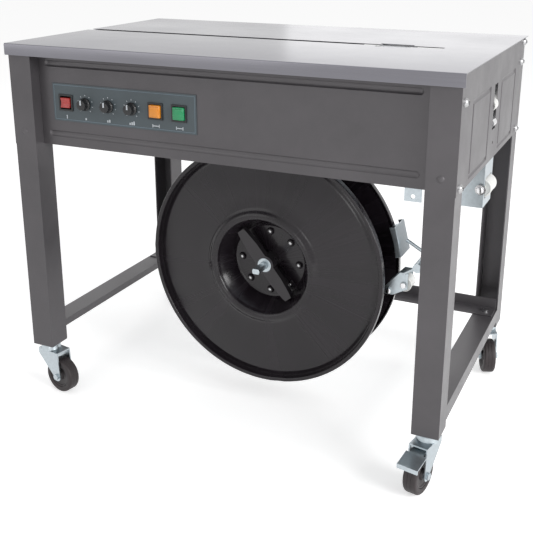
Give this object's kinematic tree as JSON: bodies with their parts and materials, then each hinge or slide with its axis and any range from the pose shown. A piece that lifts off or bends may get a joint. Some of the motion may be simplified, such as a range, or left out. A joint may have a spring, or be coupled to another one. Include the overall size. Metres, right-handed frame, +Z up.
{
  "type": "strapping table machine",
  "caption": "Steel table on swivel casters with a strap slot, a drive casing with control plate, and a hanging strap reel with lever brake.",
  "frame": {"origin": "on the floor under the middle of the table", "axes": "+X to the operator's right along the table's length, +Y to the back, +Z up"},
  "size_m": [0.9084, 0.6668, 0.75],
  "materials": {
    "frame_paint": "satin powder coat",
    "table_steel": "brushed",
    "chute_steel": "dull",
    "screw_steel": "bright",
    "zinc": "bright zinc",
    "plate_blue": "satin",
    "black_plastic": "matte",
    "red_plastic": "gloss",
    "amber_plastic": "gloss",
    "green_plastic": "gloss",
    "board_green": "semi gloss",
    "reel_black": "gloss enamel",
    "white_nylon": "satin",
    "tyre_rubber": "satin",
    "machine_steel": "machined",
    "motor_paint": "semi gloss",
    "belt_rubber": "matte",
    "core_steel": "varnished laminations",
    "pinch_rubber": "matte"
  },
  "bodies": {
    "frame": {"front_legs": "frame_paint", "rear_legs": "frame_paint", "lower_rails": "frame_paint", "front_panel": "frame_paint", "rear_panel": "frame_paint", "side_panel_left": "frame_paint", "side_panel_right": "frame_paint", "base_tray": "zinc", "frame_screws": "screw_steel", "control_plate": "plate_blue", "switch_bezels": "black_plastic", "control_board": "board_green", "power_inlet": "black_plastic", "reel_bracket": "zinc", "reel_shaft": "zinc", "brake_bracket": "zinc", "guide_bracket": "zinc", "inlet_guide": "screw_steel", "caster_stems": "zinc", "motor": "motor_paint", "gearbox": "motor_paint", "head_block": "machine_steel", "transformer": "core_steel", "drive_belt": "belt_rubber"},
    "lid": {"table_top": "table_steel", "strap_chute": "chute_steel"},
    "power_rocker": {"power_rocker": "red_plastic"},
    "amber_button": {"amber_button": "amber_plastic"},
    "green_button": {"green_button": "green_plastic"},
    "heat_knob": {"heat_knob": "black_plastic"},
    "feed_knob": {"feed_knob": "black_plastic"},
    "tension_knob": {"tension_knob": "black_plastic"},
    "reel": {"reel_rear_flange": "reel_black"},
    "reel_front": {"reel_front_flange": "reel_black"},
    "lock_handle": {"reel_lock_handle": "black_plastic"},
    "brake": {"brake_arm": "zinc", "brake_shoe": "zinc"},
    "dancer": {"dancer_roller": "white_nylon"},
    "guide_roller": {"guide_roller": "white_nylon"},
    "inlet_roller": {"inlet_roller": "white_nylon"},
    "motor_pulley": {"motor_pulley": "machine_steel"},
    "gearbox_pulley": {"gearbox_pulley": "machine_steel"},
    "camshaft": {"camshaft": "machine_steel"},
    "left_gripper": {"left_gripper": "machine_steel"},
    "center_press": {"center_press": "machine_steel"},
    "right_gripper": {"right_gripper": "machine_steel"},
    "anvil": {"anvil_slide": "machine_steel"},
    "heater": {"heater_arm": "machine_steel"},
    "feed_roller": {"feed_roller": "machine_steel"},
    "pinch_roller": {"pinch_roller": "pinch_rubber"},
    "fork_front_left": {"caster_fork_front_left": "zinc"},
    "wheel_front_left": {"caster_wheel_front_left": "tyre_rubber"},
    "fork_front_right": {"caster_fork_front_right": "zinc"},
    "wheel_front_right": {"caster_wheel_front_right": "tyre_rubber"},
    "pedal_front_right": {"caster_brake_front_right": "zinc"},
    "fork_rear_left": {"caster_fork_rear_left": "zinc"},
    "wheel_rear_left": {"caster_wheel_rear_left": "tyre_rubber"},
    "pedal_rear_left": {"caster_brake_rear_left": "zinc"},
    "fork_rear_right": {"caster_fork_rear_right": "zinc"},
    "wheel_rear_right": {"caster_wheel_rear_right": "tyre_rubber"}
  },
  "joints": [
    {"name": "lid_hinge", "type": "hinge", "parent": "frame", "child": "lid", "pos_m": [0, 0.268, 0.7385], "axis": [-1, 0, 0], "range_deg": [0, 75]},
    {"name": "rocker_tilt", "type": "hinge", "parent": "frame", "child": "power_rocker", "pos_m": [-0.331, -0.246, 0.638], "axis": [1, 0, 0], "range_deg": [0, 12]},
    {"name": "amber_press", "type": "slide", "parent": "frame", "child": "amber_button", "axis": [0, 1, 0], "range_m": [0, 0.003], "stiffness_N_per_m": 300},
    {"name": "green_press", "type": "slide", "parent": "frame", "child": "green_button", "axis": [0, 1, 0], "range_m": [0, 0.003], "stiffness_N_per_m": 300},
    {"name": "heat_knob_turn", "type": "hinge", "parent": "frame", "child": "heat_knob", "pos_m": [-0.286, -0.254, 0.638], "axis": [0, -1, 0], "range_deg": [-140, 140]},
    {"name": "feed_knob_turn", "type": "hinge", "parent": "frame", "child": "feed_knob", "pos_m": [-0.233, -0.254, 0.638], "axis": [0, -1, 0], "range_deg": [-140, 140]},
    {"name": "tension_knob_turn", "type": "hinge", "parent": "frame", "child": "tension_knob", "pos_m": [-0.18, -0.254, 0.638], "axis": [0, -1, 0], "range_deg": [-140, 140]},
    {"name": "reel_spin", "type": "hinge", "parent": "frame", "child": "reel", "pos_m": [0.03, -0.005, 0.309], "axis": [0, 1, 0], "continuous": true},
    {"name": "flange_pull_off", "type": "slide", "parent": "reel", "child": "reel_front", "axis": [0, -1, 0], "range_m": [0, 0.1]},
    {"name": "lock_handle_turn", "type": "hinge", "parent": "reel_front", "child": "lock_handle", "pos_m": [0.03, -0.125, 0.309], "axis": [0, 1, 0], "range_deg": [0, 90]},
    {"name": "brake_lift", "type": "hinge", "parent": "frame", "child": "brake", "pos_m": [0.34, 0, 0.345], "axis": [0, 1, 0], "range_deg": [0, 8]},
    {"name": "dancer_spin", "type": "hinge", "parent": "brake", "child": "dancer", "pos_m": [0.313, -0.065, 0.304], "axis": [0, 1, 0], "continuous": true},
    {"name": "guide_roller_spin", "type": "hinge", "parent": "frame", "child": "guide_roller", "pos_m": [0.437, 0, 0.499], "axis": [0, 1, 0], "continuous": true},
    {"name": "inlet_roller_spin", "type": "hinge", "parent": "frame", "child": "inlet_roller", "pos_m": [0.436, 0, 0.653], "axis": [0, 1, 0], "continuous": true},
    {"name": "front_left_swivel", "type": "hinge", "parent": "frame", "child": "fork_front_left", "pos_m": [-0.4188, -0.2525, 0.1], "axis": [0, 0, 1], "continuous": true},
    {"name": "front_left_wheel_spin", "type": "hinge", "parent": "fork_front_left", "child": "wheel_front_left", "pos_m": [-0.38729, -0.25806, 0.0375], "axis": [0.1736, 0.9848, 0], "continuous": true},
    {"name": "front_right_swivel", "type": "hinge", "parent": "frame", "child": "fork_front_right", "pos_m": [0.4188, -0.2525, 0.1], "axis": [0, 0, 1], "continuous": true},
    {"name": "front_right_wheel_spin", "type": "hinge", "parent": "fork_front_right", "child": "wheel_front_right", "pos_m": [0.41269, -0.28391, 0.0375], "axis": [0.9816, -0.1908, 0], "continuous": true},
    {"name": "front_right_brake_pedal", "type": "hinge", "parent": "fork_front_right", "child": "pedal_front_right", "pos_m": [0.41441, -0.27508, 0.084], "axis": [0.9816, -0.1908, 0], "range_deg": [0, 10]},
    {"name": "rear_left_swivel", "type": "hinge", "parent": "frame", "child": "fork_rear_left", "pos_m": [-0.4188, 0.2525, 0.1], "axis": [0, 0, 1], "continuous": true},
    {"name": "rear_left_wheel_spin", "type": "hinge", "parent": "fork_rear_left", "child": "wheel_rear_left", "pos_m": [-0.42491, 0.28391, 0.0375], "axis": [-0.9816, -0.1908, 0], "continuous": true},
    {"name": "rear_left_brake_pedal", "type": "hinge", "parent": "fork_rear_left", "child": "pedal_rear_left", "pos_m": [-0.42319, 0.27508, 0.084], "axis": [-0.9816, -0.1908, 0], "range_deg": [0, 10]},
    {"name": "rear_right_swivel", "type": "hinge", "parent": "frame", "child": "fork_rear_right", "pos_m": [0.4188, 0.2525, 0.1], "axis": [0, 0, 1], "continuous": true},
    {"name": "rear_right_wheel_spin", "type": "hinge", "parent": "fork_rear_right", "child": "wheel_rear_right", "pos_m": [0.43079, 0.22283, 0.0375], "axis": [0.9272, 0.3746, 0], "continuous": true},
    {"name": "gearbox_pulley_spin", "type": "hinge", "parent": "frame", "child": "gearbox_pulley", "pos_m": [0.142, -0.064, 0.64], "axis": [0, 1, 0], "continuous": true},
    {"name": "motor_pulley_spin", "type": "hinge", "parent": "frame", "child": "motor_pulley", "pos_m": [0, -0.064, 0.64], "axis": [0, 1, 0], "continuous": true},
    {"name": "camshaft_spin", "type": "hinge", "parent": "frame", "child": "camshaft", "pos_m": [0.25, 0, 0.608], "axis": [1, 0, 0], "continuous": true},
    {"name": "left_gripper_stroke", "type": "slide", "parent": "frame", "child": "left_gripper", "axis": [0, 0, 1], "range_m": [0, 0.009]},
    {"name": "center_press_stroke", "type": "slide", "parent": "frame", "child": "center_press", "axis": [0, 0, 1], "range_m": [0, 0.009]},
    {"name": "right_gripper_stroke", "type": "slide", "parent": "frame", "child": "right_gripper", "axis": [0, 0, 1], "range_m": [0, 0.009]},
    {"name": "anvil_travel", "type": "slide", "parent": "frame", "child": "anvil", "axis": [0, 1, 0], "range_m": [0, 0.025]},
    {"name": "heater_swing", "type": "hinge", "parent": "frame", "child": "heater", "pos_m": [0.25, 0.05, 0.736], "axis": [0, 0, -1], "range_deg": [0, 90]},
    {"name": "feed_roller_spin", "type": "hinge", "parent": "frame", "child": "feed_roller", "pos_m": [0.366, 0, 0.692], "axis": [0, 1, 0], "continuous": true},
    {"name": "pinch_roller_spin", "type": "hinge", "parent": "frame", "child": "pinch_roller", "pos_m": [0.366, 0, 0.7306], "axis": [0, 1, 0], "continuous": true}
  ],
  "couplings": [
    {"joint": "motor_pulley_spin", "follows": "gearbox_pulley_spin", "ratio": 2.2222},
    {"joint": "camshaft_spin", "follows": "gearbox_pulley_spin", "ratio": 0.05},
    {"joint": "pinch_roller_spin", "follows": "feed_roller_spin", "ratio": -1.9231}
  ]
}
